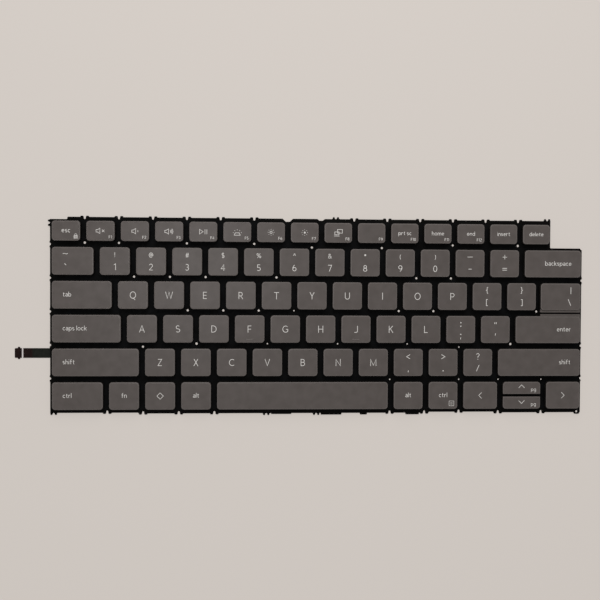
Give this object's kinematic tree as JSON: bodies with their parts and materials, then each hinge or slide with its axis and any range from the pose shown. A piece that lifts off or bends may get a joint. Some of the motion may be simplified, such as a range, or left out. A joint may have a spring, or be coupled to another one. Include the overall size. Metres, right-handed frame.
{
  "type": "laptop keyboard",
  "caption": "Thin laptop keyboard module: flat island keys on scissor levers over a stamped plate with slotted edge lugs, and a short backlight flex tail at the left.",
  "frame": {"origin": "middle of the underside, below the middle of the key field", "axes": "+X to the right along the key rows, +Y towards the function row, +Z out of the keycaps"},
  "size_m": [0.3075, 0.1074, 0.0044],
  "materials": {
    "keycap": "fine matte texture",
    "plate": "black coated",
    "membrane": "matte black film",
    "dome": "milky silicone",
    "lever": "moulded acetal",
    "wire": "drawn wire",
    "light_sheet": "white reflector film",
    "tail": "black flexible circuit",
    "stiffener": "dark stiffener board"
  },
  "bodies": {
    "base": {"support_plate": "plate", "membrane": "membrane", "rubber_domes": "dome", "scissor_levers": "lever", "stabilizer_bars": "wire", "backlight_sheet": "light_sheet", "backlight_tail": "tail", "tail_stiffener": "stiffener", "upper_row_keycaps": "keycap"},
    "q_key": {"key_q": "keycap"},
    "w_key": {"key_w": "keycap"},
    "e_key": {"key_e": "keycap"},
    "r_key": {"key_r": "keycap"},
    "t_key": {"key_t": "keycap"},
    "y_key": {"key_y": "keycap"},
    "u_key": {"key_u": "keycap"},
    "i_key": {"key_i": "keycap"},
    "o_key": {"key_o": "keycap"},
    "p_key": {"key_p": "keycap"},
    "a_key": {"key_a": "keycap"},
    "s_key": {"key_s": "keycap"},
    "d_key": {"key_d": "keycap"},
    "f_key": {"key_f": "keycap"},
    "g_key": {"key_g": "keycap"},
    "h_key": {"key_h": "keycap"},
    "j_key": {"key_j": "keycap"},
    "k_key": {"key_k": "keycap"},
    "l_key": {"key_l": "keycap"},
    "z_key": {"key_z": "keycap"},
    "x_key": {"key_x": "keycap"},
    "c_key": {"key_c": "keycap"},
    "v_key": {"key_v": "keycap"},
    "b_key": {"key_b": "keycap"},
    "n_key": {"key_n": "keycap"},
    "m_key": {"key_m": "keycap"},
    "backspace_key": {"key_backspace": "keycap"},
    "tab_key": {"key_tab": "keycap"},
    "bracket_open_key": {"key_bracket_open": "keycap"},
    "bracket_close_key": {"key_bracket_close": "keycap"},
    "backslash_key": {"key_backslash": "keycap"},
    "caps_lock_key": {"key_caps_lock": "keycap"},
    "semicolon_key": {"key_semicolon": "keycap"},
    "apostrophe_key": {"key_apostrophe": "keycap"},
    "enter_key": {"key_enter": "keycap"},
    "shift_left_key": {"key_shift_left": "keycap"},
    "comma_key": {"key_comma": "keycap"},
    "period_key": {"key_period": "keycap"},
    "slash_key": {"key_slash": "keycap"},
    "shift_right_key": {"key_shift_right": "keycap"},
    "ctrl_left_key": {"key_ctrl_left": "keycap"},
    "fn_key": {"key_fn": "keycap"},
    "system_key": {"key_system": "keycap"},
    "alt_left_key": {"key_alt_left": "keycap"},
    "space_key": {"key_space": "keycap"},
    "alt_right_key": {"key_alt_right": "keycap"},
    "ctrl_right_key": {"key_ctrl_right": "keycap"},
    "arrow_left_key": {"key_arrow_left": "keycap"},
    "arrow_up_key": {"key_arrow_up": "keycap"},
    "arrow_right_key": {"key_arrow_right": "keycap"},
    "arrow_down_key": {"key_arrow_down": "keycap"}
  },
  "joints": [
    {"name": "q_press", "type": "slide", "parent": "base", "child": "q_key", "axis": [0, 0, 1], "range_m": [-0.0013, 0], "stiffness_N_per_m": 400, "springref_m": 0.0003, "deforming": ["rubber_domes", "scissor_levers"]},
    {"name": "w_press", "type": "slide", "parent": "base", "child": "w_key", "axis": [0, 0, 1], "range_m": [-0.0013, 0], "stiffness_N_per_m": 400, "springref_m": 0.0003, "deforming": ["rubber_domes", "scissor_levers"]},
    {"name": "e_press", "type": "slide", "parent": "base", "child": "e_key", "axis": [0, 0, 1], "range_m": [-0.0013, 0], "stiffness_N_per_m": 400, "springref_m": 0.0003, "deforming": ["rubber_domes", "scissor_levers"]},
    {"name": "r_press", "type": "slide", "parent": "base", "child": "r_key", "axis": [0, 0, 1], "range_m": [-0.0013, 0], "stiffness_N_per_m": 400, "springref_m": 0.0003, "deforming": ["rubber_domes", "scissor_levers"]},
    {"name": "t_press", "type": "slide", "parent": "base", "child": "t_key", "axis": [0, 0, 1], "range_m": [-0.0013, 0], "stiffness_N_per_m": 400, "springref_m": 0.0003, "deforming": ["rubber_domes", "scissor_levers"]},
    {"name": "y_press", "type": "slide", "parent": "base", "child": "y_key", "axis": [0, 0, 1], "range_m": [-0.0013, 0], "stiffness_N_per_m": 400, "springref_m": 0.0003, "deforming": ["rubber_domes", "scissor_levers"]},
    {"name": "u_press", "type": "slide", "parent": "base", "child": "u_key", "axis": [0, 0, 1], "range_m": [-0.0013, 0], "stiffness_N_per_m": 400, "springref_m": 0.0003, "deforming": ["rubber_domes", "scissor_levers"]},
    {"name": "i_press", "type": "slide", "parent": "base", "child": "i_key", "axis": [0, 0, 1], "range_m": [-0.0013, 0], "stiffness_N_per_m": 400, "springref_m": 0.0003, "deforming": ["rubber_domes", "scissor_levers"]},
    {"name": "o_press", "type": "slide", "parent": "base", "child": "o_key", "axis": [0, 0, 1], "range_m": [-0.0013, 0], "stiffness_N_per_m": 400, "springref_m": 0.0003, "deforming": ["rubber_domes", "scissor_levers"]},
    {"name": "p_press", "type": "slide", "parent": "base", "child": "p_key", "axis": [0, 0, 1], "range_m": [-0.0013, 0], "stiffness_N_per_m": 400, "springref_m": 0.0003, "deforming": ["rubber_domes", "scissor_levers"]},
    {"name": "a_press", "type": "slide", "parent": "base", "child": "a_key", "axis": [0, 0, 1], "range_m": [-0.0013, 0], "stiffness_N_per_m": 400, "springref_m": 0.0003, "deforming": ["rubber_domes", "scissor_levers"]},
    {"name": "s_press", "type": "slide", "parent": "base", "child": "s_key", "axis": [0, 0, 1], "range_m": [-0.0013, 0], "stiffness_N_per_m": 400, "springref_m": 0.0003, "deforming": ["rubber_domes", "scissor_levers"]},
    {"name": "d_press", "type": "slide", "parent": "base", "child": "d_key", "axis": [0, 0, 1], "range_m": [-0.0013, 0], "stiffness_N_per_m": 400, "springref_m": 0.0003, "deforming": ["rubber_domes", "scissor_levers"]},
    {"name": "f_press", "type": "slide", "parent": "base", "child": "f_key", "axis": [0, 0, 1], "range_m": [-0.0013, 0], "stiffness_N_per_m": 400, "springref_m": 0.0003, "deforming": ["rubber_domes", "scissor_levers"]},
    {"name": "g_press", "type": "slide", "parent": "base", "child": "g_key", "axis": [0, 0, 1], "range_m": [-0.0013, 0], "stiffness_N_per_m": 400, "springref_m": 0.0003, "deforming": ["rubber_domes", "scissor_levers"]},
    {"name": "h_press", "type": "slide", "parent": "base", "child": "h_key", "axis": [0, 0, 1], "range_m": [-0.0013, 0], "stiffness_N_per_m": 400, "springref_m": 0.0003, "deforming": ["rubber_domes", "scissor_levers"]},
    {"name": "j_press", "type": "slide", "parent": "base", "child": "j_key", "axis": [0, 0, 1], "range_m": [-0.0013, 0], "stiffness_N_per_m": 400, "springref_m": 0.0003, "deforming": ["rubber_domes", "scissor_levers"]},
    {"name": "k_press", "type": "slide", "parent": "base", "child": "k_key", "axis": [0, 0, 1], "range_m": [-0.0013, 0], "stiffness_N_per_m": 400, "springref_m": 0.0003, "deforming": ["rubber_domes", "scissor_levers"]},
    {"name": "l_press", "type": "slide", "parent": "base", "child": "l_key", "axis": [0, 0, 1], "range_m": [-0.0013, 0], "stiffness_N_per_m": 400, "springref_m": 0.0003, "deforming": ["rubber_domes", "scissor_levers"]},
    {"name": "z_press", "type": "slide", "parent": "base", "child": "z_key", "axis": [0, 0, 1], "range_m": [-0.0013, 0], "stiffness_N_per_m": 400, "springref_m": 0.0003, "deforming": ["rubber_domes", "scissor_levers"]},
    {"name": "x_press", "type": "slide", "parent": "base", "child": "x_key", "axis": [0, 0, 1], "range_m": [-0.0013, 0], "stiffness_N_per_m": 400, "springref_m": 0.0003, "deforming": ["rubber_domes", "scissor_levers"]},
    {"name": "c_press", "type": "slide", "parent": "base", "child": "c_key", "axis": [0, 0, 1], "range_m": [-0.0013, 0], "stiffness_N_per_m": 400, "springref_m": 0.0003, "deforming": ["rubber_domes", "scissor_levers"]},
    {"name": "v_press", "type": "slide", "parent": "base", "child": "v_key", "axis": [0, 0, 1], "range_m": [-0.0013, 0], "stiffness_N_per_m": 400, "springref_m": 0.0003, "deforming": ["rubber_domes", "scissor_levers"]},
    {"name": "b_press", "type": "slide", "parent": "base", "child": "b_key", "axis": [0, 0, 1], "range_m": [-0.0013, 0], "stiffness_N_per_m": 400, "springref_m": 0.0003, "deforming": ["rubber_domes", "scissor_levers"]},
    {"name": "n_press", "type": "slide", "parent": "base", "child": "n_key", "axis": [0, 0, 1], "range_m": [-0.0013, 0], "stiffness_N_per_m": 400, "springref_m": 0.0003, "deforming": ["rubber_domes", "scissor_levers"]},
    {"name": "m_press", "type": "slide", "parent": "base", "child": "m_key", "axis": [0, 0, 1], "range_m": [-0.0013, 0], "stiffness_N_per_m": 400, "springref_m": 0.0003, "deforming": ["rubber_domes", "scissor_levers"]},
    {"name": "backspace_press", "type": "slide", "parent": "base", "child": "backspace_key", "axis": [0, 0, 1], "range_m": [-0.0013, 0], "stiffness_N_per_m": 450, "springref_m": 0.0003, "deforming": ["rubber_domes", "scissor_levers"]},
    {"name": "tab_press", "type": "slide", "parent": "base", "child": "tab_key", "axis": [0, 0, 1], "range_m": [-0.0013, 0], "stiffness_N_per_m": 450, "springref_m": 0.0003, "deforming": ["rubber_domes", "scissor_levers"]},
    {"name": "bracket_open_press", "type": "slide", "parent": "base", "child": "bracket_open_key", "axis": [0, 0, 1], "range_m": [-0.0013, 0], "stiffness_N_per_m": 400, "springref_m": 0.0003, "deforming": ["rubber_domes", "scissor_levers"]},
    {"name": "bracket_close_press", "type": "slide", "parent": "base", "child": "bracket_close_key", "axis": [0, 0, 1], "range_m": [-0.0013, 0], "stiffness_N_per_m": 400, "springref_m": 0.0003, "deforming": ["rubber_domes", "scissor_levers"]},
    {"name": "backslash_press", "type": "slide", "parent": "base", "child": "backslash_key", "axis": [0, 0, 1], "range_m": [-0.0013, 0], "stiffness_N_per_m": 400, "springref_m": 0.0003, "deforming": ["rubber_domes", "scissor_levers"]},
    {"name": "caps_lock_press", "type": "slide", "parent": "base", "child": "caps_lock_key", "axis": [0, 0, 1], "range_m": [-0.0013, 0], "stiffness_N_per_m": 450, "springref_m": 0.0003, "deforming": ["rubber_domes", "scissor_levers"]},
    {"name": "semicolon_press", "type": "slide", "parent": "base", "child": "semicolon_key", "axis": [0, 0, 1], "range_m": [-0.0013, 0], "stiffness_N_per_m": 400, "springref_m": 0.0003, "deforming": ["rubber_domes", "scissor_levers"]},
    {"name": "apostrophe_press", "type": "slide", "parent": "base", "child": "apostrophe_key", "axis": [0, 0, 1], "range_m": [-0.0013, 0], "stiffness_N_per_m": 400, "springref_m": 0.0003, "deforming": ["rubber_domes", "scissor_levers"]},
    {"name": "enter_press", "type": "slide", "parent": "base", "child": "enter_key", "axis": [0, 0, 1], "range_m": [-0.0013, 0], "stiffness_N_per_m": 450, "springref_m": 0.0003, "deforming": ["rubber_domes", "scissor_levers"]},
    {"name": "shift_left_press", "type": "slide", "parent": "base", "child": "shift_left_key", "axis": [0, 0, 1], "range_m": [-0.0013, 0], "stiffness_N_per_m": 450, "springref_m": 0.0003, "deforming": ["rubber_domes", "scissor_levers"]},
    {"name": "comma_press", "type": "slide", "parent": "base", "child": "comma_key", "axis": [0, 0, 1], "range_m": [-0.0013, 0], "stiffness_N_per_m": 400, "springref_m": 0.0003, "deforming": ["rubber_domes", "scissor_levers"]},
    {"name": "period_press", "type": "slide", "parent": "base", "child": "period_key", "axis": [0, 0, 1], "range_m": [-0.0013, 0], "stiffness_N_per_m": 400, "springref_m": 0.0003, "deforming": ["rubber_domes", "scissor_levers"]},
    {"name": "slash_press", "type": "slide", "parent": "base", "child": "slash_key", "axis": [0, 0, 1], "range_m": [-0.0013, 0], "stiffness_N_per_m": 400, "springref_m": 0.0003, "deforming": ["rubber_domes", "scissor_levers"]},
    {"name": "shift_right_press", "type": "slide", "parent": "base", "child": "shift_right_key", "axis": [0, 0, 1], "range_m": [-0.0013, 0], "stiffness_N_per_m": 450, "springref_m": 0.0003, "deforming": ["rubber_domes", "scissor_levers"]},
    {"name": "ctrl_left_press", "type": "slide", "parent": "base", "child": "ctrl_left_key", "axis": [0, 0, 1], "range_m": [-0.0013, 0], "stiffness_N_per_m": 400, "springref_m": 0.0003, "deforming": ["rubber_domes", "scissor_levers"]},
    {"name": "fn_press", "type": "slide", "parent": "base", "child": "fn_key", "axis": [0, 0, 1], "range_m": [-0.0013, 0], "stiffness_N_per_m": 400, "springref_m": 0.0003, "deforming": ["rubber_domes", "scissor_levers"]},
    {"name": "system_press", "type": "slide", "parent": "base", "child": "system_key", "axis": [0, 0, 1], "range_m": [-0.0013, 0], "stiffness_N_per_m": 400, "springref_m": 0.0003, "deforming": ["rubber_domes", "scissor_levers"]},
    {"name": "alt_left_press", "type": "slide", "parent": "base", "child": "alt_left_key", "axis": [0, 0, 1], "range_m": [-0.0013, 0], "stiffness_N_per_m": 400, "springref_m": 0.0003, "deforming": ["rubber_domes", "scissor_levers"]},
    {"name": "space_press", "type": "slide", "parent": "base", "child": "space_key", "axis": [0, 0, 1], "range_m": [-0.0013, 0], "stiffness_N_per_m": 500, "springref_m": 0.0003, "deforming": ["rubber_domes", "scissor_levers"]},
    {"name": "alt_right_press", "type": "slide", "parent": "base", "child": "alt_right_key", "axis": [0, 0, 1], "range_m": [-0.0013, 0], "stiffness_N_per_m": 400, "springref_m": 0.0003, "deforming": ["rubber_domes", "scissor_levers"]},
    {"name": "ctrl_right_press", "type": "slide", "parent": "base", "child": "ctrl_right_key", "axis": [0, 0, 1], "range_m": [-0.0013, 0], "stiffness_N_per_m": 400, "springref_m": 0.0003, "deforming": ["rubber_domes", "scissor_levers"]},
    {"name": "arrow_left_press", "type": "slide", "parent": "base", "child": "arrow_left_key", "axis": [0, 0, 1], "range_m": [-0.0013, 0], "stiffness_N_per_m": 400, "springref_m": 0.0003, "deforming": ["rubber_domes", "scissor_levers"]},
    {"name": "arrow_up_press", "type": "slide", "parent": "base", "child": "arrow_up_key", "axis": [0, 0, 1], "range_m": [-0.0013, 0], "stiffness_N_per_m": 400, "springref_m": 0.0003, "deforming": ["rubber_domes", "scissor_levers"]},
    {"name": "arrow_right_press", "type": "slide", "parent": "base", "child": "arrow_right_key", "axis": [0, 0, 1], "range_m": [-0.0013, 0], "stiffness_N_per_m": 400, "springref_m": 0.0003, "deforming": ["rubber_domes", "scissor_levers"]},
    {"name": "arrow_down_press", "type": "slide", "parent": "base", "child": "arrow_down_key", "axis": [0, 0, 1], "range_m": [-0.0013, 0], "stiffness_N_per_m": 400, "springref_m": 0.0003, "deforming": ["rubber_domes", "scissor_levers"]}
  ]
}
